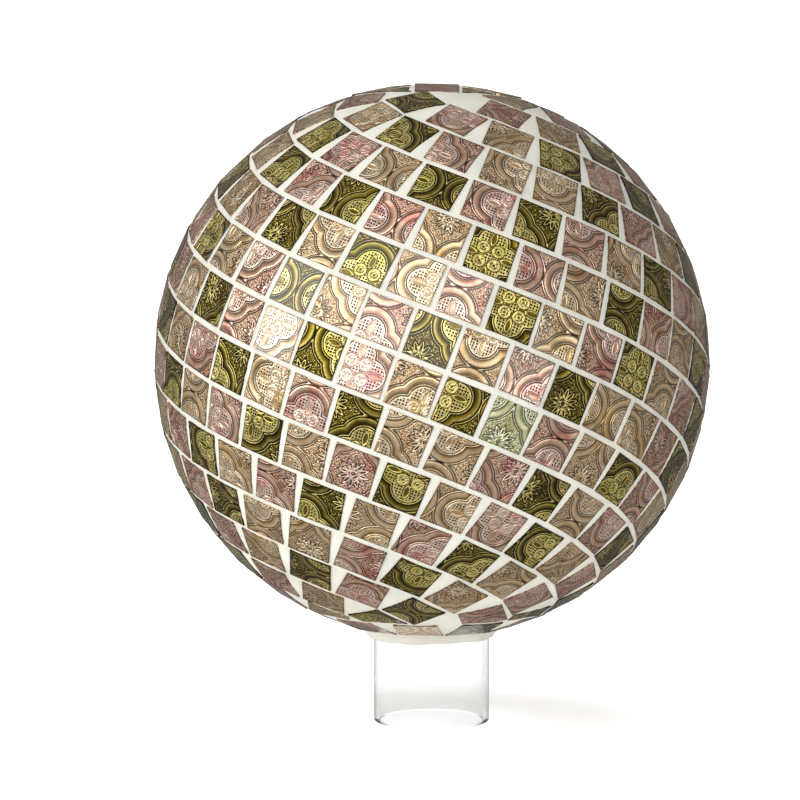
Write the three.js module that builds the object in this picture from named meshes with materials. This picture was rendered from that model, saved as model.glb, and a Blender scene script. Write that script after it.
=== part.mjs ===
// Mosaic gazing globe: a hollow ball of blown clear glass with an open neck, covered all over with square
// glass tiles set in grout. It stands on the rim of its neck. Millimetres, +Z up, the front is -Y, and the
// origin is the middle of the rim.
import * as THREE from "three";

// Driving dimensions
const MOSAIC_RADIUS = 127; // to the corners of the tiles: a 254 mm globe
const CENTRE_HEIGHT = 166; // of the ball's centre above the rim
const TILE = 20; // side of a square tile
const TILE_THICKNESS = 2.2;
const TILE_PROUD = 0.7; // how far the tiles' edges stand out of the grout
const GLASS_RADIUS = 123;
const GLASS_WALL = 2.4;
const NECK_RADIUS = 26.5; // outside
const FILLET_RADIUS = 9; // between the ball and its neck, on the outside
const RIM_ROUND = 0.7; // fire-polished edges of the rim
const FIT_GAP = 0.3; // between pieces that touch
const SEGMENTS = 32; // around the ball
const BALL_STEPS = 12; // from the top down to the fillet
const FILLET_STEPS = 3;
const GROUT_RADIUS = MOSAIC_RADIUS - TILE_PROUD;
const FACE_DEPTH = Math.sqrt(MOSAIC_RADIUS ** 2 - TILE ** 2 / 2); // a tile's flat face to the ball's centre

// Strands of tiles wind round the ball about an axis that was laid a little off the neck's own. The joints in
// a strand are great circles that lean, and every strand keeps the same width from end to end.
const STRANDS = 12;
const LEAN = 0.34; // sine of the angle between a joint and the axis, at the equator
const RISE = Math.sqrt(1 - LEAN ** 2);
const STRAND_PITCH = (2 * Math.PI * MOSAIC_RADIUS * LEAN) / STRANDS;
const STRAND_TURN = 0.303; // share of a strand's pitch by which the first strand is turned
const JOINT = 2.2; // narrowest grout joint in a strand
const AXIS_BACK = 6.6; // degrees
const AXIS_RIGHT = 1; // degrees
const FIRST_TILE = [1, -9, 4, 9.5, 10, -8.5, 3, 8.5, 10, 11.5, -6.5, -4]; // from the equator, laid by hand
const LAST_LATITUDE = 83; // degrees along a joint's great circle, where a strand has reached the crown
const SMALLEST_PIECE = 35; // mm2: a smaller offcut is left out, and grout fills its place

// The ring of whole tiles round the neck, and the crown that closes the top
const RING_TILES = 11;
const RING_ANGLE = 21.2; // degrees from the neck's axis to the middle of a tile
const RING_TURN = -7.6; // degrees from the front to the first tile
const CROWN_TILES = 6;
const CROWN_INNER = 19.4; // from the axis to the inner edge of a crown tile
const WEDGE_JOINT = 2; // between a crown tile and the cut tile that fills the wedge beside it
const WEDGE_TIP = 4; // width of a cut tile's blunt tip
const END_JOINT = 2.4; // between the strands' cut ends and the ring or the crown

// The grout's collar tapers from the ball to the neck
const COLLAR_TOP = 34.2; // radius where it leaves the ball
const COLLAR_EDGE = 1.7; // thickness at its lower edge
const COLLAR_DROP = 128.2; // from the ball's centre down to its lower edge
const COLLAR_BEND = [0.6, -1.4]; // where its curve bends: out from the edge, and down from the ball
const COLLAR_STEPS = 4;

const FINISHES = {
  clear_glass: { color: "#dfe6e4", roughness: 0.04, metalness: 0, transparent: true, opacity: 0.45 },
  grout: { color: "#dedcd0", roughness: 0.85, metalness: 0 },
  olive: { color: "#6b6a1e", roughness: 0.16, metalness: 0.55 },
  rose: { color: "#a98486", roughness: 0.16, metalness: 0.5 },
  champagne: { color: "#c2a888", roughness: 0.16, metalness: 0.5 },
};
const materials = {};
for (const [name, finish] of Object.entries(FINISHES)) {
  materials[name] = new THREE.MeshStandardMaterial({ name, ...finish });
}

const degrees = THREE.MathUtils.degToRad;
const globe = new THREE.Group();
globe.position.z = CENTRE_HEIGHT; // everything below is measured from the ball's centre

function addPiece(name, finish, geometry) {
  const piece = new THREE.Mesh(geometry, materials[finish]);
  piece.name = name;
  globe.add(piece);
}

// Points of an arc in a turned profile, from one angle to another, both counted from +R towards +Z.
function arc(radius, from, to, steps, centreR = 0, centreZ = 0) {
  return Array.from({ length: steps + 1 }, (_, i) => {
    const angle = from + ((to - from) * i) / steps;
    return new THREE.Vector2(centreR + radius * Math.cos(angle), centreZ + radius * Math.sin(angle));
  });
}

// The profile of the ball and its fillet, from the top down to the neck, at a distance off the glass.
function ballProfile(offGlass) {
  const filletR = NECK_RADIUS + FILLET_RADIUS;
  const filletZ = -Math.sqrt((GLASS_RADIUS + FILLET_RADIUS) ** 2 - filletR ** 2);
  const meeting = Math.atan2(filletZ, filletR);
  const ball = arc(GLASS_RADIUS + offGlass, Math.PI / 2, meeting, BALL_STEPS);
  const turned = meeting + Math.PI;
  const fillet = arc(FILLET_RADIUS - offGlass, turned, Math.PI, FILLET_STEPS, filletR, filletZ);
  ball[0].x = 0;
  return [...ball, ...fillet.slice(1)];
}

function glassGeometry() {
  const bore = NECK_RADIUS - GLASS_WALL;
  const rim = [
    new THREE.Vector2(NECK_RADIUS, RIM_ROUND - CENTRE_HEIGHT),
    new THREE.Vector2(NECK_RADIUS - RIM_ROUND, -CENTRE_HEIGHT),
    new THREE.Vector2(bore + RIM_ROUND, -CENTRE_HEIGHT),
    new THREE.Vector2(bore, RIM_ROUND - CENTRE_HEIGHT),
  ];
  const profile = [...ballProfile(0), ...rim, ...ballProfile(-GLASS_WALL).reverse()];
  return new THREE.LatheGeometry(profile.reverse(), SEGMENTS).rotateX(Math.PI / 2);
}

// A tile lies in a frame of its own: x along its strand, y along the joint, z out of the ball.
function frameAt(outward, joint) {
  const along = new THREE.Vector3().crossVectors(joint, outward).normalize();
  return new THREE.Matrix4().makeBasis(along, new THREE.Vector3().crossVectors(outward, along), outward);
}

const axisFrame = new THREE.Matrix4()
  .makeRotationX(-degrees(AXIS_BACK))
  .multiply(new THREE.Matrix4().makeRotationY(degrees(AXIS_RIGHT)));

const atDepth = (frame, [x, y], depth) => new THREE.Vector3(x, y, depth).applyMatrix4(frame);
const onFace = (frame, corner) => atDepth(frame, corner, FACE_DEPTH);
const groutDepth = ([x, y]) => Math.sqrt(GROUT_RADIUS ** 2 - x ** 2 - y ** 2);
const onGrout = (frame, corner) => atDepth(frame, corner, groutDepth(corner));

const square = (side) => [
  [-side / 2, -side / 2],
  [side / 2, -side / 2],
  [side / 2, side / 2],
  [-side / 2, side / 2],
];

const area = (outline) => THREE.ShapeUtils.area(outline.map(([x, y]) => new THREE.Vector2(x, y)));

// What is left of an outline on the side of a plane through the ball's centre that its normal points to.
function cutOutline(frame, outline, normal) {
  const side = outline.map((corner) => onFace(frame, corner).dot(normal));
  return outline.flatMap((corner, i) => {
    const next = (i + 1) % outline.length;
    const kept = side[i] >= 0 ? [corner] : [];
    if (side[i] >= 0 === side[next] >= 0) return kept;
    const share = side[i] / (side[i] - side[next]);
    return [...kept, corner.map((value, k) => value + share * (outline[next][k] - value))];
  });
}

// The tile cut straight along a circle about an axis, which keeps the side away from the axis.
function cutAtCircle(frame, outline, axis, angle) {
  const outward = new THREE.Vector3().setFromMatrixColumn(frame, 2);
  const away = outward.clone().addScaledVector(axis, -outward.dot(axis)).normalize();
  const normal = away.multiplyScalar(Math.cos(angle)).addScaledVector(axis, -Math.sin(angle));
  return cutOutline(frame, outline, normal);
}

// One strand from the crown to the ring, tile by tile both ways from its first.
function strandTiles(strand) {
  const ring = Math.asin(TILE / 2 / MOSAIC_RADIUS) + degrees(RING_ANGLE) + END_JOINT / MOSAIC_RADIUS;
  const crown = (CROWN_INNER + TILE + END_JOINT) / MOSAIC_RADIUS;
  const axis = new THREE.Vector3(0, 0, 1).applyMatrix4(axisFrame);
  const latitudeAt = (length) => Math.asin((-length * LEAN) / (RISE * MOSAIC_RADIUS));
  const longest = (RISE * MOSAIC_RADIUS * Math.sin(degrees(LAST_LATITUDE))) / LEAN;
  const pitchAt = (length) => {
    const latitude = Math.min(Math.abs(latitudeAt(length)), degrees(LAST_LATITUDE));
    return ((TILE + JOINT) * Math.cos(latitude)) / Math.cos(latitude + TILE / 2 / MOSAIC_RADIUS);
  };
  const tiles = [];
  for (const way of [-1, 1]) {
    let length = FIRST_TILE[strand];
    if (way === -1) length -= pitchAt(length);
    while (Math.abs(length) < longest) {
      const latitude = latitudeAt(length);
      const longitude = ((strand + STRAND_TURN) * STRAND_PITCH) / (MOSAIC_RADIUS * LEAN) - latitude / LEAN;
      const start = new THREE.Vector3(Math.sin(longitude), -Math.cos(longitude), 0);
      const east = new THREE.Vector3(Math.cos(longitude), Math.sin(longitude), 0);
      const climb = east.multiplyScalar(LEAN).add(new THREE.Vector3(0, 0, RISE));
      const [across, up] = [Math.cos(latitude), Math.sin(latitude)];
      const outward = start.clone().multiplyScalar(across).addScaledVector(climb, up);
      const joint = climb.multiplyScalar(across).addScaledVector(start, -up);
      const frame = frameAt(outward.applyMatrix4(axisFrame), joint.applyMatrix4(axisFrame));
      const upper = cutAtCircle(frame, square(TILE), axis, crown);
      const outline = cutAtCircle(frame, upper, new THREE.Vector3(0, 0, -1), ring);
      if (outline.length && area(outline) > SMALLEST_PIECE) tiles.push({ frame, outline });
      length += way * pitchAt(length + (way * TILE) / 2);
    }
  }
  return tiles;
}

// A tile set along a meridian of an axis, at an angle from it and turned about it. Its y points to the axis.
function meridianFrame(angle, turn, toWorld) {
  const pole = new THREE.Vector3(0, 0, 1);
  const side = new THREE.Vector3(Math.sin(turn), -Math.cos(turn), 0);
  const outward = pole.clone().multiplyScalar(Math.cos(angle)).addScaledVector(side, Math.sin(angle));
  const joint = pole.multiplyScalar(Math.sin(angle)).addScaledVector(side, -Math.cos(angle));
  return frameAt(outward.applyMatrix4(toWorld), joint.applyMatrix4(toWorld));
}

const COLOURS = ["olive", "rose", "champagne"];

function neckRing() {
  const upsideDown = new THREE.Matrix4().makeRotationY(Math.PI);
  return Array.from({ length: RING_TILES }, (_, i) => {
    const turn = -degrees(RING_TURN) - (i * 2 * Math.PI) / RING_TILES;
    const frame = meridianFrame(degrees(RING_ANGLE), turn, upsideDown);
    // Champagne stands at the front, and the order of the colours slips by one at the back
    const finish = COLOURS[(i < RING_TILES / 2 ? i + 2 : i) % 3];
    return { name: `neck_ring_tile_${i + 1}`, finish, frame, outline: square(TILE) };
  });
}

function crown() {
  const step = (2 * Math.PI) / CROWN_TILES;
  const outer = CROWN_INNER + TILE;
  const toApex = outer - (TILE / 2 + WEDGE_JOINT) / Math.sin(step / 2);
  const base = 2 * toApex * Math.tan(step / 2);
  const height = toApex * (1 - WEDGE_TIP / base);
  const wedge = [
    [-base / 2, -height / 2],
    [base / 2, -height / 2],
    [WEDGE_TIP / 2, height / 2],
    [-WEDGE_TIP / 2, height / 2],
  ];
  const tileAngle = (outer - TILE / 2) / MOSAIC_RADIUS;
  const wedgeAngle = (outer - height / 2) / MOSAIC_RADIUS;
  const top = meridianFrame(0, 0, axisFrame);
  const tiles = [{ name: "crown_centre_tile", finish: "olive", frame: top, outline: square(TILE) }];
  for (let i = 0; i < CROWN_TILES; i++) {
    tiles.push({
      name: `crown_tile_${i + 1}`,
      finish: COLOURS[1 + (i % 2)],
      frame: meridianFrame(tileAngle, i * step, axisFrame),
      outline: square(TILE),
    });
    tiles.push({
      name: `crown_wedge_tile_${i + 1}`,
      finish: "olive",
      frame: meridianFrame(wedgeAngle, (i + 0.5) * step, axisFrame),
      outline: wedge,
    });
  }
  return tiles;
}

// Triangles gathered one after another into one closed surface.
class Skin {
  constructor() {
    this.corners = [];
  }
  add(...points) {
    for (let i = 2; i < points.length; i++) this.corners.push(points[0], points[i - 1], points[i]);
  }
  wall(lower, upper) {
    lower.forEach((point, i) => {
      const next = (i + 1) % lower.length;
      this.add(point, lower[next], upper[next], upper[i]);
    });
  }
  spin(profile) {
    for (let i = 1; i < profile.length; i++) {
      const [above, below] = [circle(profile[i - 1]), circle(profile[i])];
      above.forEach((point, k) => {
        const next = (k + 1) % SEGMENTS;
        if (profile[i].x > 0) this.add(point, below[k], below[next]);
        if (profile[i - 1].x > 0) this.add(point, below[next], above[next]);
      });
    }
  }
  geometry() {
    return new THREE.BufferGeometry().setFromPoints(this.corners);
  }
}

function circle({ x: radius, y: height }) {
  return Array.from({ length: SEGMENTS }, (_, k) => {
    const turn = (2 * Math.PI * k) / SEGMENTS;
    return new THREE.Vector3(radius * Math.sin(turn), -radius * Math.cos(turn), height);
  });
}

// An edge between two grout triangles is turned round until the surface bulges outwards everywhere, which
// keeps long slivers from cutting deep into the grout.
function bulge(points, triangles) {
  const owner = new Map();
  const key = (a, b) => a * points.length + b;
  const claim = (t) => triangles[t].forEach((a, i) => owner.set(key(a, triangles[t][(i + 1) % 3]), t));
  triangles.forEach((_, t) => claim(t));
  const plane = new THREE.Plane();
  const waiting = triangles.map((_, t) => t);
  while (waiting.length) {
    const t = waiting.pop();
    for (let i = 0; i < 3; i++) {
      const [a, b, c] = [0, 1, 2].map((k) => triangles[t][(i + k) % 3]);
      const other = owner.get(key(b, a));
      if (other === undefined) continue;
      const d = triangles[other].find((corner) => corner !== a && corner !== b);
      plane.setFromCoplanarPoints(points[a], points[b], points[c]);
      if (plane.distanceToPoint(points[d]) < 1e-6) continue;
      owner.delete(key(a, b));
      owner.delete(key(b, a));
      triangles[t] = [a, d, c];
      triangles[other] = [d, b, c];
      claim(t);
      claim(other);
      waiting.push(t, other);
      break;
    }
  }
}

// The grout between the tiles: the ball is laid out flat from the neck, cut into triangles round the tiles'
// outlines, and the corners go back to the ball.
function groutTriangles(collar, outlines) {
  const flat = ({ x, y, z }) => new THREE.Vector2(x, y).multiplyScalar(GROUT_RADIUS / (GROUT_RADIUS + z));
  const points = [...collar, ...outlines.flat()];
  const holes = outlines.map((outline) => outline.map(flat).reverse());
  const reversed = [...collar, ...outlines.flatMap((outline) => [...outline].reverse())];
  const triangles = THREE.ShapeUtils.triangulateShape(collar.map(flat), holes).map((triangle) => {
    const [a, b, c] = triangle.map((corner) => flat(reversed[corner]));
    return b.sub(a).cross(c.sub(a)) > 0 ? triangle : [...triangle].reverse();
  });
  bulge(reversed, triangles);
  return triangles.map((triangle) => triangle.map((corner) => reversed[corner]));
}

// The grout with the strands' tiles in it, and pockets for the tiles of the ring and the crown.
function mosaicGeometry(laid, pocketed) {
  const skin = new Skin();
  const start = new THREE.Vector2(COLLAR_TOP, -Math.sqrt(GROUT_RADIUS ** 2 - COLLAR_TOP ** 2));
  const edge = new THREE.Vector2(NECK_RADIUS + FIT_GAP + COLLAR_EDGE, -COLLAR_DROP);
  const bend = new THREE.Vector2(edge.x, start.y).add(new THREE.Vector2(...COLLAR_BEND));
  const taper = new THREE.QuadraticBezierCurve(start, bend, edge).getPoints(COLLAR_STEPS);
  const inside = ballProfile(FIT_GAP).reverse();
  skin.spin([...taper, new THREE.Vector2(NECK_RADIUS + FIT_GAP, edge.y), ...inside]);

  const outlines = [];
  for (const { frame, outline } of laid) {
    const foot = outline.map((corner) => onGrout(frame, corner));
    const face = outline.map((corner) => onFace(frame, corner));
    skin.wall(foot, face);
    skin.add(...face);
    outlines.push(foot);
  }
  const floorDepth = FACE_DEPTH - TILE_THICKNESS - FIT_GAP;
  for (const { frame, outline } of pocketed) {
    const grown = outline.map(([x, y]) => [x + Math.sign(x) * FIT_GAP, y + Math.sign(y) * FIT_GAP]);
    const mouth = grown.map((corner) => onGrout(frame, corner));
    const floor = grown.map((corner) => atDepth(frame, corner, floorDepth));
    skin.wall(mouth, floor);
    skin.add(...floor);
    outlines.push(mouth);
  }
  for (const triangle of groutTriangles(circle(start), outlines)) skin.add(...triangle);
  return skin.geometry();
}

function tileGeometry({ frame, outline }) {
  const shape = new THREE.Shape(outline.map(([x, y]) => new THREE.Vector2(x, y)));
  const geometry = new THREE.ExtrudeGeometry(shape, { depth: TILE_THICKNESS, bevelEnabled: false });
  return geometry.translate(0, 0, FACE_DEPTH - TILE_THICKNESS).applyMatrix4(frame);
}

const laid = FIRST_TILE.flatMap((_, strand) => strandTiles(strand));
const pocketed = [...neckRing(), ...crown()];
addPiece("glass_globe", "clear_glass", glassGeometry());
addPiece("mosaic", "grout", mosaicGeometry(laid, pocketed));
for (const tile of pocketed) addPiece(tile.name, tile.finish, tileGeometry(tile));

export default globe;
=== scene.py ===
"""Mosaic gazing globe: a ball of clear blown glass on its own open neck, covered with embossed glass tiles
in grout. Laid out as an add-on whose operators each make one piece or one group of like pieces."""

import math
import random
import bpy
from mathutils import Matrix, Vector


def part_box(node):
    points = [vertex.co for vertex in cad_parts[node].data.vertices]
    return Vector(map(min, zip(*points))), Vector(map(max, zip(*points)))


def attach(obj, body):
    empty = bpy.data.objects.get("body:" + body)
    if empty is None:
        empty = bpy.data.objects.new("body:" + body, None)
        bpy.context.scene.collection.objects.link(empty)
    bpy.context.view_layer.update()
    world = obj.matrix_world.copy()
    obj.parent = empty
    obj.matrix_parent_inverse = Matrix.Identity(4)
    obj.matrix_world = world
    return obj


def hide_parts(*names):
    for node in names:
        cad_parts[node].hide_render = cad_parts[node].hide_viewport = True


bl_info = {
    "name": "Mosaic gazing globe",
    "version": (1, 0, 0),
    "blender": (4, 5, 0),
    "location": "View3D > Sidebar > Gazing globe",
    "description": "Builds a glass gazing globe covered with embossed mosaic tiles",
    "category": "Object",
}

import bpy
import numpy as np
from mathutils import Matrix, Vector, noise

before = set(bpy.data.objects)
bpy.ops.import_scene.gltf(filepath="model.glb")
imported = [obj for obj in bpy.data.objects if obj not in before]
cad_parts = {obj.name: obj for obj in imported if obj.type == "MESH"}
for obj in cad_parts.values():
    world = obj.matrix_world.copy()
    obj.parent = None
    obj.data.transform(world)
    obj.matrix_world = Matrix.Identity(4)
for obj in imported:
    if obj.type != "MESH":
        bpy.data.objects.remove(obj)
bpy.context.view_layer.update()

MM = 0.001

# The ball and its neck
GLASS_RADIUS = 123 * MM
GLASS_WALL = 2.4 * MM
NECK_RADIUS = 26.5 * MM
FILLET_RADIUS = 9 * MM
RIM_ROUND = 0.7 * MM
FIT_GAP = 0.3 * MM
CENTRE = Vector((0, 0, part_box("glass_globe")[1].z - GLASS_RADIUS))

# The tiles and the grout round them
MOSAIC_RADIUS = 127 * MM  # to the corners of the tiles
TILE = 20 * MM
TILE_THICKNESS = 2.2 * MM
FACE_DEPTH = math.sqrt(MOSAIC_RADIUS**2 - TILE**2 / 2)  # from the ball's centre to the middle of a face
TILT_SHARE = 0.35  # how far a tile tilts on its bed, against how far it turns
GROUT_RADIUS = 126.15 * MM
GROUT_UNDER_TILES = 1.1 * MM  # how far the grout's skin dips out of the way beneath a tile
COLLAR_TOP = 34.2 * MM
COLLAR_EDGE = 28.5 * MM
COLLAR_DROP = 128.2 * MM
COLLAR_SWELL = 1.4 * MM  # how far outside its lower edge the collar's curve turns
COLLAR_FALL = 3 * MM  # how far below the ball it turns
COLLAR_STEPS = 6
TILE_BED = 0.4 * MM  # the strip under a tile's edge where the grout keeps its height
BED_SLOPE = 2 * MM  # the slope from there to its full dip

# Strands of tiles wind round the ball about an axis a little off the neck's own
STRANDS = 12
LEAN = 0.34  # sine of the angle between a joint and the axis, at the equator
RISE = math.sqrt(1 - LEAN**2)
STRAND_PITCH = 2 * math.pi * MOSAIC_RADIUS * LEAN / STRANDS
STRAND_TURN = 0.303
JOINT = 2.2 * MM
AXIS_BACK = 6.6
AXIS_RIGHT = 1
FIRST_TILE = [1, -9, 4, 9.5, 10, -8.5, 3, 8.5, 10, 11.5, -6.5, -4]  # mm from the equator, given one by one
LAST_LATITUDE = math.radians(83)
SMALLEST_PIECE = 35 * MM * MM

# The ring of whole tiles round the neck, and the crown that closes the top
RING_TILES = 11
RING_ANGLE = math.radians(21.2)
RING_TURN = math.radians(-7.6)
CROWN_TILES = 6
CROWN_INNER = 19.4 * MM
WEDGE_JOINT = 2 * MM
WEDGE_TIP = 4 * MM
END_JOINT = 2.4 * MM

# Every third tile of a strand is olive. For each strand: the olive tiles' place in the threes, the tile at
# which the layer lost count, and their place from there on.
OLIVE_COUNT = [
    (2, 3, 0),
    (2, -6, 1),
    (1, -10, 0),
    (2, -9, 1),
    (2, -11, 0),
    (1, -10, 0),
    (0, 13, 2),
    (2, 9, 0),
    (2, 99, 2),
    (1, 99, 1),
    (1, 5, 2),
    (0, 4, 1),
]
ROSE_FIRST = {2, 3, 4, 5, 6, 11}  # strands where rose follows olive, and champagne comes third
SAGE_TILE = (11, 4)  # the one tile cut from a paler green sheet

# The embossed sheet that the tiles are cut from, in millimetres: lobed medallions with a daisy between them
SHEET_PITCH = 37.0
LOBE_OUT = 7.0
LOBE_RADIUS = 8.4
MIDDLE_RADIUS = 10.2
LOBE_BLEND = 0.6
PETALS = 12
PETAL_MIDDLE = 4.5
PETAL_HALF_LENGTH = 2.6
PETAL_HALF_WIDTH = 0.7
EYE_RADIUS = 1.2
LEAF_MIDDLE = 8.6
LEAF_HALF_LENGTH = 3.4
LEAF_HALF_WIDTH = 1.3
SCROLL_OUT = 3.4
SCROLL_RADIUS = 2.3
SCROLL_HALF_WIDTH = 0.35
BOSS_RADIUS = 1.0
DOT_PITCH = 1.35
DOT_RADIUS = 0.4
STIPPLE = 0.714  # grains on the plain ground
RELIEF = 0.4 * MM  # from the deepest groove to the highest ridge
SOFTENING = 0.3  # over which the mesh averages the relief, since its own grid is coarser than the sheet

# Sizes of the patterns in the other finishes
DRIFT = 10.53 * MM  # patches of deeper and of duller colour in a foil
CLOUD = 16.67 * MM  # cloudy patches in the grout
SAND = 0.714 * MM  # its pores and grains
SPONGE = 11.11 * MM  # shallow hollows that the sponge leaves in it
SPONGE_DEPTH = 0.12 * MM

# Height of the relief, 0 to 1 with 0.5 on plain ground, by millimetres from a motif's outline
BAND_PROFILE = [
    (-2.4, 0.84),
    (-2.05, 0.95),
    (-1.6, 0.1),
    (-1.15, 0.95),
    (-0.7, 0.18),
    (-0.1, 0.36),
    (0.9, 0.58),
    (1.9, 0.7),
    (2.4, 0.5),
    (2.75, 0.04),
    (3.15, 0.95),
    (3.6, 0.1),
    (4.1, 0.5),
]
PETAL_PROFILE = [(-0.7, 0.4), (-0.4, 0.1), (0.0, 0.95), (0.4, 0.12), (0.8, 0.5)]
LEAF_PROFILE = [(-1.2, 0.22), (-0.5, 0.2), (0.0, 0.72), (0.35, 0.12), (0.7, 0.5)]

# Detail of the meshes
TILE_STEPS = 26
EDGE_ROUND = 0.35 * MM
BALL_SEGMENTS = 96
GROUT_SEGMENTS = 420
CLOSE = 0.01 * MM  # sizes and places nearer than this are the same
ON_CUT = 0.001 * MM  # a point nearer to a cut than this lies on it

# The stage, in metres
SWEEP_WIDTH = 1.2
SWEEP_FRONT = -0.8
SWEEP_BACK = 2.0  # where the floor turns up into the backdrop
SWEEP_CURVE_STEPS = 8
SWEEP_CURVE_STEP = 0.12
SWEEP_RISE = 1.4
CAMERA_DISTANCE = 2.0
LOOK_DOWN = math.radians(5.6)
LENS = 197  # mm, with a sensor 36 mm wide
AIM_LEFT = 14.5 * MM
AIM_BELOW = 17.8 * MM


def linear(hex_colour):
    """The linear RGBA of an sRGB hex colour."""
    parts = [int(hex_colour[i : i + 2], 16) / 255 for i in (1, 3, 5)]
    return tuple(c / 12.92 if c <= 0.04045 else ((c + 0.055) / 1.055) ** 2.4 for c in parts) + (1.0,)


def colour(name, description, default):
    """A colour setting."""
    return bpy.props.FloatVectorProperty(
        name=name, description=description, subtype="COLOR", size=4, min=0, max=1, default=linear(default)
    )


class GlobeColours(bpy.types.PropertyGroup):
    """Colours of the globe's finishes."""

    grout: colour("Grout", "Ivory cement grout between the tiles", "#DAD8CC")
    olive: colour("Olive tiles", "Plain ground of the olive foil", "#705E12")
    rose: colour("Rose tiles", "Plain ground of the rose foil", "#DDB496")
    champagne: colour("Champagne tiles", "Plain ground of the champagne foil", "#DEBE94")
    sage: colour("Sage tile", "Plain ground of the pale green foil", "#DCDAA4")
    glass: colour("Glass", "Tint of the clear glass", "#FFFFFF")


class GlobeSizes(bpy.types.PropertyGroup):
    """Sizes of the finish."""

    relief: bpy.props.FloatProperty(
        name="Relief", description="Depth of the embossing", default=RELIEF, min=0, unit="LENGTH"
    )
    wobble: bpy.props.FloatProperty(
        name="Hand laying", description="How far a tile sits off its place", default=0.25 * MM, unit="LENGTH"
    )
    turn: bpy.props.FloatProperty(
        name="Hand turning",
        description="How far a tile is turned on its bed",
        default=math.radians(1.0),
        subtype="ANGLE",
    )


# Modelling helpers


def select_only(*pieces):
    """Selects these objects alone, with the first one active."""
    bpy.ops.object.select_all(action="DESELECT")
    for piece in pieces:
        piece.select_set(True)
    bpy.context.view_layer.objects.active = pieces[0]


def added(operator, name, **settings):
    """The object that a primitive operator adds, with everything else deselected."""
    bpy.ops.object.select_all(action="DESELECT")
    operator(**settings)
    made = bpy.context.object
    made.name = made.data.name = name
    return made


def edit(piece, select="SELECT"):
    """Goes into edit mode on one piece alone, with all or nothing of it selected."""
    select_only(piece)
    bpy.ops.object.mode_set(mode="EDIT")
    bpy.ops.mesh.select_mode(type="EDGE")
    bpy.ops.mesh.select_all(action=select)


def edit_edges(piece, wanted):
    """Goes into edit mode on one piece alone, with the edges selected whose two ends pass a test."""
    edit(piece, "DESELECT")
    bpy.ops.object.mode_set(mode="OBJECT")
    for edge in piece.data.edges:
        edge.select = wanted(*(piece.data.vertices[i].co for i in edge.vertices))
    bpy.ops.object.mode_set(mode="EDIT")


def select_rim():
    """Selects the open edges of the piece in edit mode."""
    bpy.ops.mesh.select_all(action="DESELECT")
    bpy.ops.mesh.select_non_manifold(extend=False, use_wire=False, use_multi_face=False, use_verts=False)


def extrude_rim(*move):
    """Extrudes the selected edges by a move along x, y and z."""
    bpy.ops.mesh.extrude_edges_move(TRANSFORM_OT_translate={"value": move})


def turned_profile(rings):
    """Draws the selected rim of a turned shape through a list of (radius, height)."""
    for (radius, height), (next_radius, next_height) in zip(rings, rings[1:]):
        extrude_rim(0, 0, next_height - height)
        share = next_radius / radius
        bpy.ops.transform.resize(value=(share, share, 1), center_override=(0, 0, 0))


def finish_piece(piece, slot, material, *nodes):
    """Puts a finished piece's place into its mesh and hands it to the frame."""
    select_only(piece)
    bpy.ops.object.transform_apply(location=True, rotation=True, scale=True)
    piece.data.materials.clear()
    piece.data.materials.append(material)
    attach(piece, "root")
    if nodes:
        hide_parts(*nodes)


def get_points(mesh):
    """A mesh's vertices as an array."""
    points = np.empty(len(mesh.vertices) * 3)
    mesh.vertices.foreach_get("co", points)
    return points.reshape(-1, 3)


def set_points(mesh, points):
    """Moves a mesh's vertices."""
    mesh.vertices.foreach_set("co", points.ravel())
    mesh.update()


# Layout of the mosaic, in a frame whose origin is the ball's centre


def frame_at(outward, joint):
    """A tile's axes: x along its strand, y along the joint, z out of the ball."""
    along = joint.cross(outward).normalized()
    return Matrix((along, outward.cross(along), outward)).transposed()


AXIS_FRAME = Matrix.Rotation(-math.radians(AXIS_BACK), 3, "X")
AXIS_FRAME @= Matrix.Rotation(math.radians(AXIS_RIGHT), 3, "Y")


def square(side):
    """Corners of a square, counter-clockwise."""
    return [Vector((x * side / 2, y * side / 2)) for x, y in ((-1, -1), (1, -1), (1, 1), (-1, 1))]


def area(outline):
    """Area of an outline."""
    following = outline[1:] + outline[:1]
    return sum(a.x * b.y - b.x * a.y for a, b in zip(outline, following)) / 2


def cut_at_circle(axes, outline, axis, angle):
    """The outline cut straight along a circle about an axis, which keeps the side away from the axis."""
    outward = axes.col[2]
    away = (outward - axis * outward.dot(axis)).normalized()
    normal = away * math.cos(angle) - axis * math.sin(angle)
    sides = [(axes @ Vector((*corner, FACE_DEPTH))).dot(normal) for corner in outline]
    kept = []
    for i, corner in enumerate(outline):
        following = (i + 1) % len(outline)
        if sides[i] >= 0:
            kept.append(corner)
        if (sides[i] >= 0) != (sides[following] >= 0):
            kept.append(corner.lerp(outline[following], sides[i] / (sides[i] - sides[following])))
    return kept


def tile_colour(strand, number):
    """The colour of a strand's tile by its number, counted from the equator towards the neck."""
    place, slip, place_after = OLIVE_COUNT[strand]
    step = (number - (place if number <= slip else place_after)) % 3
    if (strand, number) == SAGE_TILE:
        return "sage"
    if step == 0:
        return "olive"
    return "rose" if (step == 1) == (strand in ROSE_FIRST) else "champagne"


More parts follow.
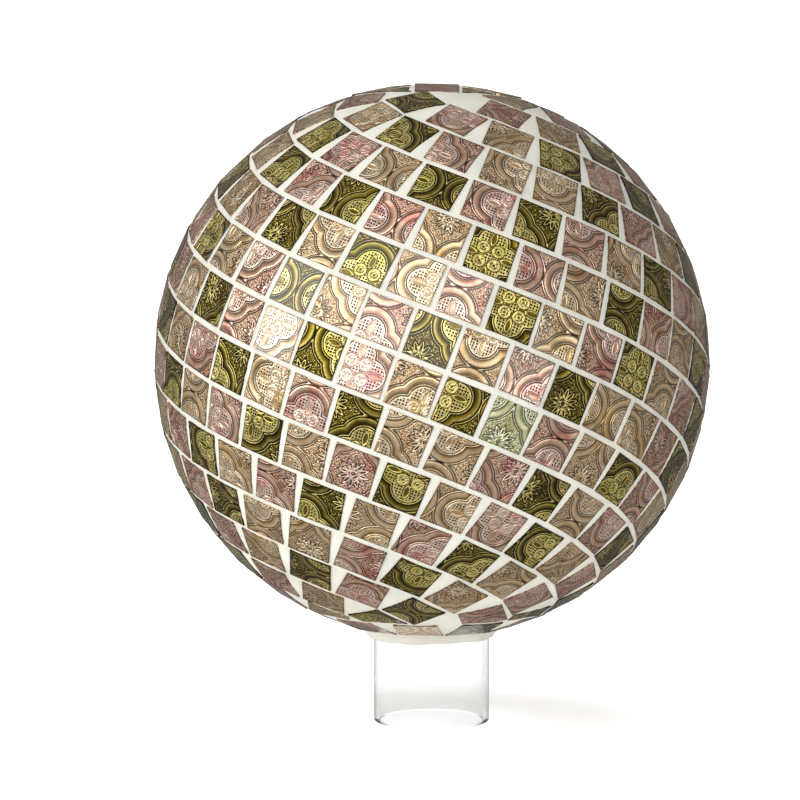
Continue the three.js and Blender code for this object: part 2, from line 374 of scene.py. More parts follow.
def strand_tiles(strand):
    """One strand from the crown to the ring: its tiles' colours, axes and outlines."""
    ring = math.asin(TILE / 2 / MOSAIC_RADIUS) + RING_ANGLE + END_JOINT / MOSAIC_RADIUS
    crown = (CROWN_INNER + TILE + END_JOINT) / MOSAIC_RADIUS
    longest = RISE * MOSAIC_RADIUS * math.sin(LAST_LATITUDE) / LEAN

    def latitude_at(length):
        return math.asin(-length * LEAN / (RISE * MOSAIC_RADIUS))

    def pitch_at(length):
        latitude = abs(latitude_at(max(-longest, min(longest, length))))
        return (TILE + JOINT) * math.cos(latitude) / math.cos(latitude + TILE / 2 / MOSAIC_RADIUS)

    tiles = []
    for way in (-1, 1):
        length = FIRST_TILE[strand] * MM
        number = 0
        if way == -1:
            length -= pitch_at(length)
            number = -1
        while abs(length) < longest:
            latitude = latitude_at(length)
            longitude = (strand + STRAND_TURN) * STRAND_PITCH / (MOSAIC_RADIUS * LEAN) - latitude / LEAN
            start = Vector((math.sin(longitude), -math.cos(longitude), 0))
            climb = Vector((math.cos(longitude), math.sin(longitude), 0)) * LEAN + Vector((0, 0, RISE))
            outward = start * math.cos(latitude) + climb * math.sin(latitude)
            joint = climb * math.cos(latitude) - start * math.sin(latitude)
            axes = frame_at(AXIS_FRAME @ outward, AXIS_FRAME @ joint)
            outline = cut_at_circle(axes, square(TILE), AXIS_FRAME.col[2], crown)
            outline = cut_at_circle(axes, outline, Vector((0, 0, -1)), ring)
            if outline and area(outline) > SMALLEST_PIECE:
                tiles.append((tile_colour(strand, number), axes, outline))
            length += way * pitch_at(length + way * TILE / 2)
            number += way
    return tiles


def meridian_frame(angle, turn, to_world):
    """Axes of a tile at an angle from a pole and turned about it, with its y towards the pole."""
    pole = Vector((0, 0, 1))
    side = Vector((math.sin(turn), -math.cos(turn), 0))
    outward = pole * math.cos(angle) + side * math.sin(angle)
    joint = pole * math.sin(angle) - side * math.cos(angle)
    return frame_at(to_world @ outward, to_world @ joint)


def ring_tiles():
    """The tiles round the neck: their nodes, colours, axes and outlines."""
    upside_down = Matrix.Rotation(math.pi, 3, "Y")
    tiles = []
    for i in range(RING_TILES):
        axes = meridian_frame(RING_ANGLE, -RING_TURN - i * 2 * math.pi / RING_TILES, upside_down)
        # Champagne stands at the front, and the order of the colours slips by one at the back
        place = i + 2 if i < RING_TILES / 2 else i
        colour_name = ("olive", "rose", "champagne")[place % 3]
        tiles.append((f"neck_ring_tile_{i + 1}", colour_name, axes, square(TILE)))
    return tiles


def crown_tiles():
    """The tiles of the crown: their nodes, colours, axes and outlines."""
    step = 2 * math.pi / CROWN_TILES
    outer = CROWN_INNER + TILE
    to_apex = outer - (TILE / 2 + WEDGE_JOINT) / math.sin(step / 2)
    base = 2 * to_apex * math.tan(step / 2)
    height = to_apex * (1 - WEDGE_TIP / base)
    foot, tip, top = base / 2, WEDGE_TIP / 2, height / 2
    wedge = [Vector(corner) for corner in ((-foot, -top), (foot, -top), (tip, top), (-tip, top))]
    tiles = [("crown_centre_tile", "olive", meridian_frame(0, 0, AXIS_FRAME), square(TILE))]
    for i in range(CROWN_TILES):
        axes = meridian_frame((outer - TILE / 2) / MOSAIC_RADIUS, i * step, AXIS_FRAME)
        tiles.append((f"crown_tile_{i + 1}", ("rose", "champagne")[i % 2], axes, square(TILE)))
        axes = meridian_frame((outer - height / 2) / MOSAIC_RADIUS, (i + 0.5) * step, AXIS_FRAME)
        tiles.append((f"crown_wedge_tile_{i + 1}", "olive", axes, wedge))
    return tiles


# The embossed sheet


def folded(values):
    """Distances from the nearest point of the sheet's lattice along one axis."""
    return (values + SHEET_PITCH / 2) % SHEET_PITCH - SHEET_PITCH / 2


def almond(x, y, half_length, half_width):
    """Signed distance to an almond shape between two arcs."""
    radius = (half_length**2 + half_width**2) / (2 * half_width)
    return np.hypot(x, np.abs(y) + radius - half_width) - radius


def medallion(u, v):
    """Signed distance to the medallions' outline: a round middle with four lobes."""
    across, along = np.abs(folded(u)), np.abs(folded(v))
    x, y = np.maximum(across, along), np.minimum(across, along)
    lobe = np.hypot(x - LOBE_OUT, y) - LOBE_RADIUS
    middle = np.hypot(x, y) - MIDDLE_RADIUS
    share = np.clip(0.5 + 0.5 * (middle - lobe) / LOBE_BLEND, 0, 1)
    return middle + (lobe - middle) * share - LOBE_BLEND * share * (1 - share)


def daisy(u, v):
    """Signed distance to the daisies' petals and eyes."""
    x, y = folded(u + SHEET_PITCH / 2), folded(v + SHEET_PITCH / 2)
    radius = np.hypot(x, y)
    sector = 2 * math.pi / PETALS
    angle = (np.arctan2(y, x) + sector / 2) % sector - sector / 2
    out, aside = radius * np.cos(angle), radius * np.sin(angle)
    petal = almond(out - PETAL_MIDDLE, aside, PETAL_HALF_LENGTH, PETAL_HALF_WIDTH)
    return np.minimum(petal, radius - EYE_RADIUS)


def leaves(u, v):
    """Signed distance to the leaves and scrolls inside the medallions."""
    across, along = np.abs(folded(u)), np.abs(folded(v))
    x, y = np.maximum(across, along), np.minimum(across, along)
    leaf = almond(x - LEAF_MIDDLE, y, LEAF_HALF_LENGTH, LEAF_HALF_WIDTH)
    out = np.hypot(across - SCROLL_OUT, along - SCROLL_OUT)
    scroll = np.minimum(np.abs(out - SCROLL_RADIUS) - SCROLL_HALF_WIDTH, out - BOSS_RADIUS)
    return np.minimum(leaf, scroll)


def relief_height(u, v):
    """Height of the embossing, 0 to 1, averaged over a small patch so that the mesh can carry it."""
    total = 0
    offsets = (-SOFTENING, 0, SOFTENING)
    for du in offsets:
        for dv in offsets:
            for distance, profile in (
                (medallion, BAND_PROFILE),
                (daisy, PETAL_PROFILE),
                (leaves, LEAF_PROFILE),
            ):
                total = total + np.interp(distance(u + du, v + dv), *zip(*profile)) - 0.5
    return np.clip(0.5 + total / len(offsets) ** 2, 0, 1)


# Materials


def add(tree, kind, inputs=None, **settings):
    """Adds a node with its settings, and links or sets its inputs. A node among these gives its first
    output."""
    node = tree.nodes.new(kind)
    for name, value in settings.items():
        setattr(node, name, value)
    for socket, value in (inputs or {}).items():
        if isinstance(value, bpy.types.Node):
            value = value.outputs[0]
        if isinstance(value, bpy.types.NodeSocket):
            tree.links.new(value, node.inputs[socket])
        else:
            node.inputs[socket].default_value = value
    return node


def new_material(name):
    """A new material, its node tree and its Principled shader."""
    material = bpy.data.materials.new(name)
    material.use_nodes = True
    tree = material.node_tree
    tree.nodes.clear()
    shader = add(tree, "ShaderNodeBsdfPrincipled")
    add(tree, "ShaderNodeOutputMaterial", {"Surface": shader})
    return material, tree, shader


def set_stops(ramp, stops):
    """Gives a colour ramp its stops, as pairs of a position and a colour."""
    elements = ramp.color_ramp.elements
    while len(elements) < len(stops):
        elements.new(0.5)
    for element, (position, value) in zip(elements, stops):
        element.position = position
        element.color = value


def shade(ground, factor):
    """A linear colour scaled in brightness."""
    return tuple(min(1, c * factor) for c in ground[:3]) + (1.0,)


def foil_relief(tree, sheet, band, petal, leaf):
    """The height of the embossing, 0 to 1: the motifs' ridges and grooves, with pricked dots of about 0.8 mm
    inside the medallions and a stipple of 0.7 mm on the ground between them."""
    height = 0.0
    for distance, profile in ((band, BAND_PROFILE), (petal, PETAL_PROFILE), (leaf, LEAF_PROFILE)):
        low, high = profile[0][0], profile[-1][0]
        share = add(tree, "ShaderNodeMapRange", {"Value": distance, "From Min": low, "From Max": high})
        motif = add(tree, "ShaderNodeValToRGB", {"Fac": share})
        motif.color_ramp.interpolation = "EASE"
        set_stops(motif, [((d - low) / (high - low), (h, h, h, 1)) for d, h in profile])
        height = add(tree, "ShaderNodeMath", {0: motif, 1: height}, operation="ADD")
    height = add(tree, "ShaderNodeMath", {0: height, 1: 1.0}, operation="SUBTRACT")

    pricks = add(
        tree,
        "ShaderNodeTexVoronoi",
        {"Vector": sheet, "Scale": 1 / DOT_PITCH, "Randomness": 0.25},
        voronoi_dimensions="2D",
    )
    rim = DOT_RADIUS / DOT_PITCH
    dot = {"Value": pricks, "From Min": 0.75 * rim, "From Max": 1.35 * rim, "To Min": 0.75, "To Max": 0.0}
    dot = add(tree, "ShaderNodeMapRange", dot, interpolation_type="SMOOTHSTEP")
    field = {"Value": band, "From Min": -2.9, "From Max": -2.4, "To Min": 1.0, "To Max": 0.0}
    field = add(tree, "ShaderNodeMapRange", field, interpolation_type="SMOOTHSTEP")
    clear = {"Value": leaf, "From Min": 0.4, "From Max": 0.8}
    clear = add(tree, "ShaderNodeMapRange", clear, interpolation_type="SMOOTHSTEP")
    field = add(tree, "ShaderNodeMath", {0: field, 1: clear}, operation="MULTIPLY")
    dot = add(tree, "ShaderNodeMath", {0: dot, 1: field}, operation="MULTIPLY")
    height = add(tree, "ShaderNodeMath", {0: height, 1: dot}, operation="SUBTRACT")

    stipple = {"Vector": sheet, "Scale": 1 / STIPPLE, "Detail": 1.0}
    stipple = add(tree, "ShaderNodeTexNoise", stipple, noise_dimensions="2D")
    stipple = add(tree, "ShaderNodeMapRange", {"Value": stipple, "To Min": -0.65, "To Max": 0.65})
    ground = {"Value": band, "From Min": 3.8, "From Max": 4.3}
    ground = add(tree, "ShaderNodeMapRange", ground, interpolation_type="SMOOTHSTEP")
    clear = {"Value": petal, "From Min": 0.6, "From Max": 0.9}
    clear = add(tree, "ShaderNodeMapRange", clear, interpolation_type="SMOOTHSTEP")
    ground = add(tree, "ShaderNodeMath", {0: ground, 1: clear}, operation="MULTIPLY")
    stipple = add(tree, "ShaderNodeMath", {0: stipple, 1: ground}, operation="MULTIPLY")
    return add(tree, "ShaderNodeMath", {0: height, 1: stipple}, operation="ADD")


def foil_tile(name, ground, groove_shade, hollow_shade, crest_highlight, blush):
    """Patterned glass over metal foil under a smooth, glossy face. The foil's relief is a bump, and its
    colour carries a painted highlight on the ridges and painted shade in the grooves and hollows between
    them. Its colour drifts over some millimetres as on hand-silvered glass, and painted shade darkens it
    along the tile's cut edge, where the relief flattens. The painted shade between the ridges is given as a
    share of the ground's brightness."""
    material, tree, shader = new_material(name)
    pattern = add(tree, "ShaderNodeAttribute", attribute_name="pattern")
    band, petal, leaf = add(tree, "ShaderNodeSeparateXYZ", {"Vector": pattern.outputs["Vector"]}).outputs
    sheet = add(tree, "ShaderNodeUVMap", uv_map="sheet")
    height = foil_relief(tree, sheet, band, petal, leaf)
    # Painted shade along the cut edge: the height halves towards the outline, darkening the colour and
    # easing the bump
    margin = add(tree, "ShaderNodeAttribute", attribute_name="margin").outputs["Fac"]
    edge = {"Value": margin, "From Min": 0.1, "From Max": 0.6, "To Min": 0.5}
    edge = add(tree, "ShaderNodeMapRange", edge, interpolation_type="SMOOTHSTEP")
    height = add(tree, "ShaderNodeMath", {0: height, 1: edge}, operation="MULTIPLY")

    # Colour by the relief's height: painted shade low down, the plain ground, a painted highlight on the
    # crests
    tones = add(tree, "ShaderNodeValToRGB", {"Fac": height})
    set_stops(tones, [(0.05, groove_shade), (0.32, shade(ground, hollow_shade)), (0.57, ground), (0.88, crest_highlight)])
    place = add(tree, "ShaderNodeTexCoord").outputs["Object"]
    drift = {"Vector": place, "Scale": 1 / DRIFT, "Detail": 2.0, "Roughness": 0.6}
    drift = add(tree, "ShaderNodeTexNoise", drift)
    flush = {"Value": drift, "From Min": 0.5, "From Max": 0.68, "To Max": 0.6}
    flush = add(tree, "ShaderNodeMapRange", flush, interpolation_type="SMOOTHSTEP")
    tinted = {0: flush, 6: tones, 7: blush}
    tinted = add(tree, "ShaderNodeMix", tinted, data_type="RGBA", blend_type="MULTIPLY").outputs[2]
    dull = {"Value": drift, "From Min": 0.3, "From Max": 0.47, "To Min": 0.6, "To Max": 0.0}
    dull = add(tree, "ShaderNodeMapRange", dull, interpolation_type="SMOOTHSTEP")
    worn = {0: dull, 6: tinted, 7: shade(ground, 0.8)}
    worn = add(tree, "ShaderNodeMix", worn, data_type="RGBA", blend_type="MULTIPLY").outputs[2]
    tree.links.new(worn, shader.inputs["Base Color"])

    bump = add(tree, "ShaderNodeBump", {"Height": height, "Strength": 1.0, "Distance": RELIEF})
    tree.links.new(bump.outputs["Normal"], shader.inputs["Normal"])
    face = add(tree, "ShaderNodeAttribute", attribute_name="glass_face")
    tree.links.new(face.outputs["Vector"], shader.inputs["Coat Normal"])
    shader.inputs["Metallic"].default_value = 0.7
    shader.inputs["Specular Tint"].default_value = ground
    shader.inputs["Roughness"].default_value = 0.27
    shader.inputs["Coat Weight"].default_value = 0.7
    shader.inputs["Coat Roughness"].default_value = 0.03
    shader.inputs["Coat IOR"].default_value = 1.5
    return material


def clear_glass():
    """Blown soda-lime glass, fire-polished: colourless straight through the wall, and a faint grey where the
    eye looks along it."""
    material, tree, shader = new_material("clear blown glass")
    body = add(tree, "ShaderNodeVolumeAbsorption", {"Color": linear("#B8C0BC"), "Density": 50.0})
    output = next(node for node in tree.nodes if node.type == "OUTPUT_MATERIAL")
    tree.links.new(body.outputs["Volume"], output.inputs["Volume"])
    shader.inputs["Base Color"].default_value = bpy.context.scene.globe_colours.glass
    shader.inputs["Transmission Weight"].default_value = 1.0
    shader.inputs["IOR"].default_value = 1.5
    shader.inputs["Roughness"].default_value = 0.0
    return material


def cement_grout():
    """Sponged cement grout: matt ivory, a little clouded, with pores and sand grains under a millimetre."""
    material, tree, shader = new_material("sponged cement grout")
    ivory = bpy.context.scene.globe_colours.grout
    place = add(tree, "ShaderNodeTexCoord").outputs["Object"]
    cloud = add(tree, "ShaderNodeTexNoise", {"Vector": place, "Scale": 1 / CLOUD, "Detail": 4.0})
    tones = add(tree, "ShaderNodeValToRGB", {"Fac": cloud})
    set_stops(tones, [(0.3, shade(ivory, 0.86)), (0.7, shade(ivory, 1.03))])
    tree.links.new(tones.outputs["Color"], shader.inputs["Base Color"])
    sand = add(tree, "ShaderNodeTexNoise", {"Vector": place, "Scale": 1 / SAND, "Detail": 3.0})
    bump = add(tree, "ShaderNodeBump", {"Height": sand, "Strength": 0.35, "Distance": 0.2 * MM})
    tree.links.new(bump.outputs["Normal"], shader.inputs["Normal"])
    shader.inputs["Roughness"].default_value = 0.8
    shader.inputs["IOR"].default_value = 1.5
    return material


def tile_materials():
    """The four foils, made once."""
    colours = bpy.context.scene.globe_colours
    made = {}
    # Name, ground, painted groove shade, painted shade between ridges as a share, painted crest highlight,
    # blush
    for name, ground, groove_shade, hollow_shade, crest_highlight, blush in (
        ("olive", colours.olive, "#0C0802", 0.21, "#EEDD8E", "#C8D84C"),
        ("rose", colours.rose, "#2C1814", 0.42, "#F6DED0", "#E08E9C"),
        ("champagne", colours.champagne, "#2E2016", 0.42, "#F4E4C6", "#DCC884"),
        ("sage", colours.sage, "#3C3C28", 0.42, "#F4F4DE", "#C2DCB4"),
    ):
        title = f"embossed {name} foil glass"
        found = bpy.data.materials.get(title)
        tones = (linear(groove_shade), hollow_shade, linear(crest_highlight), linear(blush))
        made[name] = found or foil_tile(title, ground, *tones)
    return made


# Tiles


def tile_blank():
    """A whole tile lying with its face at height 0: a fine grid with an eased edge, closed sides and a
    back."""
    blank = added(
        bpy.ops.mesh.primitive_grid_add,
        "tile_blank",
        x_subdivisions=TILE_STEPS,
        y_subdivisions=TILE_STEPS,
        size=TILE - 2 * EDGE_ROUND,
    )
    edit(blank, "DESELECT")
    select_rim()
    extrude_rim(0, 0, -EDGE_ROUND / 2)
    share = TILE / (TILE - 2 * EDGE_ROUND)
    bpy.ops.transform.resize(value=(share, share, 1), center_override=(0, 0, 0))
    extrude_rim(0, 0, EDGE_ROUND / 2 - TILE_THICKNESS)
    bpy.ops.mesh.edge_face_add()
    bpy.ops.object.mode_set(mode="OBJECT")
    return blank


def cut_to_outline(tile, outline):
    """Cuts a whole tile straight along each edge of an outline that lies within it."""
    edit(tile)
    for corner, following in zip(outline, outline[1:] + outline[:1]):
        middle = (corner + following) / 2
        if max(abs(middle.x), abs(middle.y)) > TILE / 2 - CLOSE:
            continue
        along = following - corner
        bpy.ops.mesh.select_all(action="SELECT")
        bpy.ops.mesh.bisect(
            plane_co=(middle.x, middle.y, 0),
            plane_no=(along.y, -along.x, 0),
            use_fill=True,
            clear_outer=True,
            threshold=ON_CUT,
        )
    bpy.ops.object.mode_set(mode="OBJECT")
    # A cut that falls on a row of the grid can leave a face doubled
    tile.data.validate()


def depth_inside(outline, x, y):
    """How deep points lie within an outline, negative outside."""
    depth = np.full(len(x), np.inf)
    for corner, following in zip(outline, outline[1:] + outline[:1]):
        along = (following - corner).normalized()
        depth = np.minimum(depth, along.x * (y - corner.y) - along.y * (x - corner.x))
    return depth


def emboss(tile, outline, chance):
    """Presses the sheet's relief into a tile, cut from anywhere on the sheet and turned by quarters."""
    quarter = chance.randrange(4) * math.pi / 2
    slip_u, slip_v = (chance.uniform(0, SHEET_PITCH) for _ in range(2))
    points = get_points(tile.data)
    x, y = points[:, 0] / MM, points[:, 1] / MM
    u = x * math.cos(quarter) - y * math.sin(quarter) + slip_u
    v = x * math.sin(quarter) + y * math.cos(quarter) + slip_v
    relief = bpy.context.scene.globe_sizes.relief
    on_face = points[:, 2] > -0.1 * MM  # and not on the eased edge
    points[:, 2] += np.where(on_face, relief * (relief_height(u, v) - 1), 0)
    set_points(tile.data, points)
    pattern = tile.data.attributes.new("pattern", "FLOAT_VECTOR", "POINT")
    fields = np.stack([medallion(u, v), daisy(u, v), leaves(u, v)], axis=1)
    pattern.data.foreach_set("vector", fields.ravel())
    margin = tile.data.attributes.new("margin", "FLOAT", "POINT")
    margin.data.foreach_set("value", depth_inside(outline, points[:, 0], points[:, 1]) / MM)
    corners = np.empty(len(tile.data.loops), dtype=int)
    tile.data.loops.foreach_get("vertex_index", corners)
    for layer in list(tile.data.uv_layers):
        tile.data.uv_layers.remove(layer)
    sheet = tile.data.uv_layers.new(name="sheet")
    sheet.data.foreach_set("uv", np.stack([u, v], axis=1)[corners].ravel())


def lay(tile, axes, chance):
    """Lays a tile on the ball, with a hand's small errors."""
    sizes = bpy.context.scene.globe_sizes
    shift = Vector([chance.uniform(-1, 1) * sizes.wobble for _ in range(2)] + [FACE_DEPTH])
    tilt = Matrix.Rotation(chance.gauss(0, TILT_SHARE) * sizes.turn, 4, "X")
    tilt @= Matrix.Rotation(chance.gauss(0, TILT_SHARE) * sizes.turn, 4, "Y")
    turn = Matrix.Rotation(chance.uniform(-1, 1) * sizes.turn, 4, "Z")
    place = Matrix.Translation(CENTRE) @ axes.to_4x4() @ Matrix.Translation(shift) @ tilt @ turn
    tile.data.transform(place)
    face = tile.data.attributes.new("glass_face", "FLOAT_VECTOR", "POINT")
    outward = np.array(place.to_3x3().col[2])
    face.data.foreach_set("vector", np.tile(outward, len(tile.data.vertices)))


def make_tile(blank, name, axes, outline, chance):
    """One tile cut, embossed and laid."""
    tile = blank.copy()
    tile.data = blank.data.copy()
    tile.name = tile.data.name = name
    bpy.context.collection.objects.link(tile)
    if len(outline) != 4 or abs(area(outline) - TILE**2) > CLOSE * MM:
        cut_to_outline(tile, outline)
    emboss(tile, outline, chance)
    lay(tile, axes, chance)
    return tile


def joined(pieces, name):
    """Several objects made one."""
    select_only(*pieces)
    if len(pieces) > 1:
        bpy.ops.object.join()
    whole = pieces[0]
    whole.name = whole.data.name = name
    return whole


class GLOBE_OT_strands(bpy.types.Operator):
    """Lays the strands of tiles, one piece for each colour in each strand"""

    bl_idname = "globe.strands"
    bl_label = "Strand tiles"

    def execute(self, context):
        blank = tile_blank()
        foils = tile_materials()
        for strand in range(STRANDS):
            chance = random.Random(strand)
            groups = {}
            for colour_name, axes, outline in strand_tiles(strand):
                tile = make_tile(blank, "tile", axes, outline, chance)
                groups.setdefault(colour_name, []).append(tile)
            for colour_name, tiles in groups.items():
                piece = joined(tiles, f"strand_{strand + 1}_{colour_name}_tiles")
                slot = "olive_tile" if colour_name == "sage" else f"{colour_name}_tile"
                finish_piece(piece, slot, foils[colour_name], "mosaic")
        bpy.data.objects.remove(blank)
        return {"FINISHED"}


def place_single_tiles(tiles, seed):
    """Makes tiles that are pieces of their own, each in its node's place."""
    blank = tile_blank()
    foils = tile_materials()
    chance = random.Random(seed)
    for node, colour_name, axes, outline in tiles:
        piece = make_tile(blank, f"embossed_{node}", axes, outline, chance)
        finish_piece(piece, f"{colour_name}_tile", foils[colour_name], node)
    bpy.data.objects.remove(blank)


class GLOBE_OT_neck_ring(bpy.types.Operator):
    """Lays the ring of whole tiles round the neck"""

    bl_idname = "globe.neck_ring"
    bl_label = "Neck ring tiles"

    def execute(self, context):
        place_single_tiles(ring_tiles(), seed=101)
        return {"FINISHED"}


class GLOBE_OT_crown(bpy.types.Operator):
    """Lays the crown of tiles at the top"""

    bl_idname = "globe.crown"
    bl_label = "Crown tiles"

    def execute(self, context):
        place_single_tiles(crown_tiles(), seed=102)
        return {"FINISHED"}


# Ball and grout


def fillet_rings(off_glass, steps=6):
    """The turned fillet between the ball and its neck, at a distance off the glass: (radius, height) pairs
    from the ball down to the neck, and the height counted from the ball's centre."""
    fillet_r = NECK_RADIUS + FILLET_RADIUS
    fillet_z = -math.sqrt((GLASS_RADIUS + FILLET_RADIUS) ** 2 - fillet_r**2)
    meeting = math.atan2(fillet_z, fillet_r)
    radius = FILLET_RADIUS - off_glass
    rings = []
    for i in range(steps + 1):
        angle = meeting + math.pi - meeting * i / steps
        rings.append((fillet_r + radius * math.cos(angle), fillet_z + radius * math.sin(angle)))
    return rings


def open_ball(name, radius, segments, height):
    """A sphere cut open below a height and left in edit mode with its rim selected."""
    shape = {"segments": segments, "ring_count": segments // 2, "radius": radius}
    ball = added(bpy.ops.mesh.primitive_uv_sphere_add, name, **shape)
    edit(ball)
    bpy.ops.mesh.bisect(plane_co=(0, 0, height), plane_no=(0, 0, -1), clear_outer=True, threshold=ON_CUT)
    select_rim()
    return ball


class GLOBE_OT_glass(bpy.types.Operator):
    """Blows the clear glass ball with its open neck"""

    bl_idname = "globe.glass"
    bl_label = "Glass ball and neck"

    def execute(self, context):
        fillet = fillet_rings(0)
        ball = open_ball("blown_glass_globe", GLASS_RADIUS, BALL_SEGMENTS, fillet[0][1])
        foot = -CENTRE.z
        # A ring close above the foot keeps the neck's shading straight down to its rounded rim
        neck = [(NECK_RADIUS, height) for height in (fillet[-1][1] - 1 * MM, foot + 3 * RIM_ROUND, foot)]
        turned_profile(fillet + neck)
        bpy.ops.object.mode_set(mode="OBJECT")
        wall = ball.modifiers.new("wall", "SOLIDIFY")
        wall.thickness = GLASS_WALL
        wall.offset = -1
        bpy.ops.object.modifier_apply(modifier="wall")

        def round_the_foot(start, end):
            """Whether an edge runs round the neck at its foot."""
            at_foot = max(abs(start.z - foot), abs(end.z - foot)) < CLOSE
            return at_foot and abs(start.xy.length - end.xy.length) < 0.1 * MM

        edit_edges(ball, round_the_foot)
        bpy.ops.mesh.bevel(offset=RIM_ROUND, segments=3, affect="EDGES")
        bpy.ops.object.mode_set(mode="OBJECT")
        bpy.ops.object.shade_smooth()
        ball.location = CENTRE
        # Clear glass throws hardly a shadow, so the floor inside the neck stays light
        ball.visible_shadow = False
        finish_piece(ball, "clear_glass", clear_glass(), "glass_globe")
        return {"FINISHED"}


class GLOBE_OT_grout(bpy.types.Operator):
    """Spreads the grout between the tiles and round the neck"""

    bl_idname = "globe.grout"
    bl_label = "Grout"

    def execute(self, context):
        start = (COLLAR_TOP, -math.sqrt(GROUT_RADIUS**2 - COLLAR_TOP**2))
        drop = start[1] + COLLAR_DROP
        skin = open_ball("grout", GROUT_RADIUS, GROUT_SEGMENTS, start[1])
        bend = (COLLAR_EDGE + COLLAR_SWELL, start[1] - COLLAR_FALL)
        edge = (COLLAR_EDGE, -COLLAR_DROP)
        on_neck = (NECK_RADIUS + FIT_GAP, -COLLAR_DROP)
        taper = [
            tuple((1 - t) ** 2 * a + 2 * t * (1 - t) * b + t**2 * c for a, b, c in zip(start, bend, edge))
            for t in (i / COLLAR_STEPS for i in range(COLLAR_STEPS + 1))
        ]
        turned_profile(taper + [on_neck])
        bpy.ops.object.mode_set(mode="OBJECT")
        points = get_points(skin.data)
        dip = np.zeros(len(points))
        tiles = [tile[-2:] for strand in range(STRANDS) for tile in strand_tiles(strand)]
        tiles += [tile[-2:] for tile in ring_tiles() + crown_tiles()]
        for axes, outline in tiles:
            local = points @ np.array(axes)
            depth = depth_inside(outline, local[:, 0], local[:, 1])
            share = np.clip((depth - TILE_BED) / BED_SLOPE, 0, 1)
            share[local[:, 2] < 0] = 0
            dip = np.maximum(dip, share * share * (3 - 2 * share) * GROUT_UNDER_TILES)
        sponged = np.array([noise.noise(Vector(point) / SPONGE) * SPONGE_DEPTH for point in points])
        outward = points / np.linalg.norm(points, axis=1)[:, None]
        on_ball = points[:, 2] > start[1] - 0.1 * MM
        points += outward * np.where(on_ball, sponged - dip, sponged)[:, None]
        set_points(skin.data, points)
        bpy.ops.object.shade_smooth()

        fillet = fillet_rings(FIT_GAP)
        lining = open_ball("lining", GLASS_RADIUS + FIT_GAP, BALL_SEGMENTS, fillet[0][1])
        turned_profile([ring for ring in fillet if ring[1] > -COLLAR_DROP] + [on_neck])
        bpy.ops.mesh.select_all(action="SELECT")
        bpy.ops.mesh.flip_normals()
        bpy.ops.object.mode_set(mode="OBJECT")
        grout = joined([skin, lining], "ivory_grout")
        edit(grout, "DESELECT")
        select_rim()
        bpy.ops.mesh.bridge_edge_loops()
        bpy.ops.object.mode_set(mode="OBJECT")
        # The collar's edge is wiped by hand: higher at the front and right, and a little wavy
        points = get_points(grout.data)
        round_neck = np.arctan2(points[:, 1], points[:, 0])
        lift = 1.2 + 0.8 * np.cos(round_neck + 0.9)
        lift += 0.2 * np.cos(5 * round_neck) + 0.15 * np.sin(11 * round_neck)
        points[:, 2] += lift * MM * np.clip((start[1] - points[:, 2]) / drop, 0, 1)
        set_points(grout.data, points)
        grout.location = CENTRE
        finish_piece(grout, "grout", cement_grout(), "mosaic")
        return {"FINISHED"}


# Stage


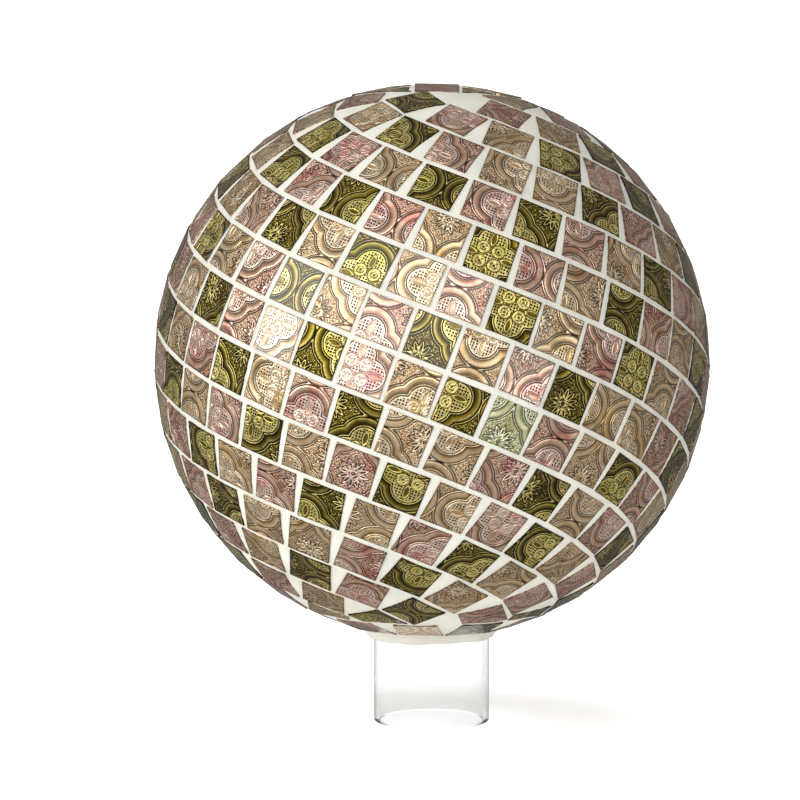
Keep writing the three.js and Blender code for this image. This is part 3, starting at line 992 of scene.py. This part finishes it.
class GLOBE_OT_stage(bpy.types.Operator):
    """Sets the pale sweep, the soft lights and the camera"""

    bl_idname = "globe.stage"
    bl_label = "Floor, lights and camera"

    def execute(self, context):
        scene = context.scene
        scene.view_settings.view_transform = "Standard"
        middle = (0, (SWEEP_FRONT + SWEEP_BACK) / 2, 0)
        sweep = added(bpy.ops.mesh.primitive_plane_add, "pale_sweep", size=1, location=middle)
        sweep.scale = (SWEEP_WIDTH, SWEEP_BACK - SWEEP_FRONT, 1)
        bpy.ops.object.transform_apply(location=True, rotation=True, scale=True)
        edit_edges(sweep, lambda start, end: min(start.y, end.y) > SWEEP_BACK - CLOSE)
        for i in range(SWEEP_CURVE_STEPS):
            lift = math.radians(90 * (i + 0.5) / SWEEP_CURVE_STEPS)
            extrude_rim(0, SWEEP_CURVE_STEP * math.cos(lift), SWEEP_CURVE_STEP * math.sin(lift))
        extrude_rim(0, 0, SWEEP_RISE)
        bpy.ops.object.mode_set(mode="OBJECT")
        bpy.ops.object.shade_smooth()
        # A sheet of opal acrylic lit from below: the eye sees an even white with the softest of shadows
        material, _, shader = new_material("lit opal acrylic")
        shader.inputs["Base Color"].default_value = linear("#F4F4F4")
        shader.inputs["Roughness"].default_value = 0.9
        shader.inputs["Emission Color"].default_value = linear("#FFFFFF")
        shader.inputs["Emission Strength"].default_value = 0.4
        sweep.data.materials.append(material)
        # The glass mirrors the dim room in place of the sweep, which keeps the edges of ball and neck dark
        sweep.visible_glossy = False

        scene.world = bpy.data.worlds.new("studio")
        scene.world.use_nodes = True
        room = scene.world.node_tree.nodes["Background"]
        room.inputs["Color"].default_value = linear("#FFFFFF")
        room.inputs["Strength"].default_value = 0.19

        # Soft boxes before the globe, and two lights behind it that fall on the sweep alone: their places,
        # what they point at, their sizes in metres, watts and spread in degrees
        for name, place, target, size, watts, spread in (
            ("key_softbox", (-0.45, -1.9, 1.2), CENTRE, 2.6, 50, 180),
            ("right_softbox", (1.4, -1.7, 0.3), CENTRE, 1.0, 7, 180),
            ("left_softbox", (-2.0, -0.9, 0.8), CENTRE, 1.2, 25, 180),
            ("floor_light", (0, 0.8, 1.5), (0, 0.8, 0), 1.0, 6.5, 76),
            ("backdrop_light", (0, 1.0, 1.9), (0, 2.2, 0.9), 1.2, 15, 110),
        ):
            bpy.ops.object.light_add(type="AREA", location=place)
            light = context.object
            light.name = light.data.name = name
            light.data.size = size
            light.data.energy = watts
            light.data.spread = math.radians(spread)
            light.visible_glossy = name.endswith("softbox")
            aim = Vector(target) - light.location
            light.rotation_euler = aim.to_track_quat("-Z", "Y").to_euler()

        # The camera looks down past the ball's centre, to its lower left
        towards = Vector((0, math.cos(LOOK_DOWN), -math.sin(LOOK_DOWN)))
        up = Vector((0, math.sin(LOOK_DOWN), math.cos(LOOK_DOWN)))
        place = CENTRE - towards * CAMERA_DISTANCE
        bpy.ops.object.camera_add(location=place)
        camera = context.object
        camera.data.lens = LENS
        camera.data.sensor_width = 36
        camera.data.clip_end = 30
        aim = CENTRE - Vector((AIM_LEFT, 0, 0)) - up * AIM_BELOW
        camera.rotation_euler = (aim - place).to_track_quat("-Z", "Y").to_euler()
        scene.camera = camera
        return {"FINISHED"}


class GLOBE_PT_panel(bpy.types.Panel):
    """Lists the globe's settings and pieces"""

    bl_idname = "GLOBE_PT_panel"
    bl_label = "Gazing globe"
    bl_space_type = "VIEW_3D"
    bl_region_type = "UI"
    bl_category = "Gazing globe"

    def draw(self, context):
        for settings in (context.scene.globe_sizes, context.scene.globe_colours):
            for name in settings.bl_rna.properties.keys():
                if name not in {"rna_type", "name"}:
                    self.layout.prop(settings, name)
        for operator in OPERATORS:
            self.layout.operator(operator.bl_idname)


OPERATORS = (
    GLOBE_OT_stage,
    GLOBE_OT_glass,
    GLOBE_OT_grout,
    GLOBE_OT_strands,
    GLOBE_OT_neck_ring,
    GLOBE_OT_crown,
)
CLASSES = (GlobeColours, GlobeSizes, *OPERATORS, GLOBE_PT_panel)


def register():
    for cls in CLASSES:
        bpy.utils.register_class(cls)
    bpy.types.Scene.globe_colours = bpy.props.PointerProperty(type=GlobeColours)
    bpy.types.Scene.globe_sizes = bpy.props.PointerProperty(type=GlobeSizes)


def unregister():
    del bpy.types.Scene.globe_sizes
    del bpy.types.Scene.globe_colours
    for cls in reversed(CLASSES):
        bpy.utils.unregister_class(cls)


def main():
    """Makes the stage and the globe."""
    register()
    bpy.ops.globe.stage()
    bpy.ops.globe.glass()
    bpy.ops.globe.grout()
    bpy.ops.globe.strands()
    bpy.ops.globe.neck_ring()
    bpy.ops.globe.crown()


if __name__ == "__main__":
    main()
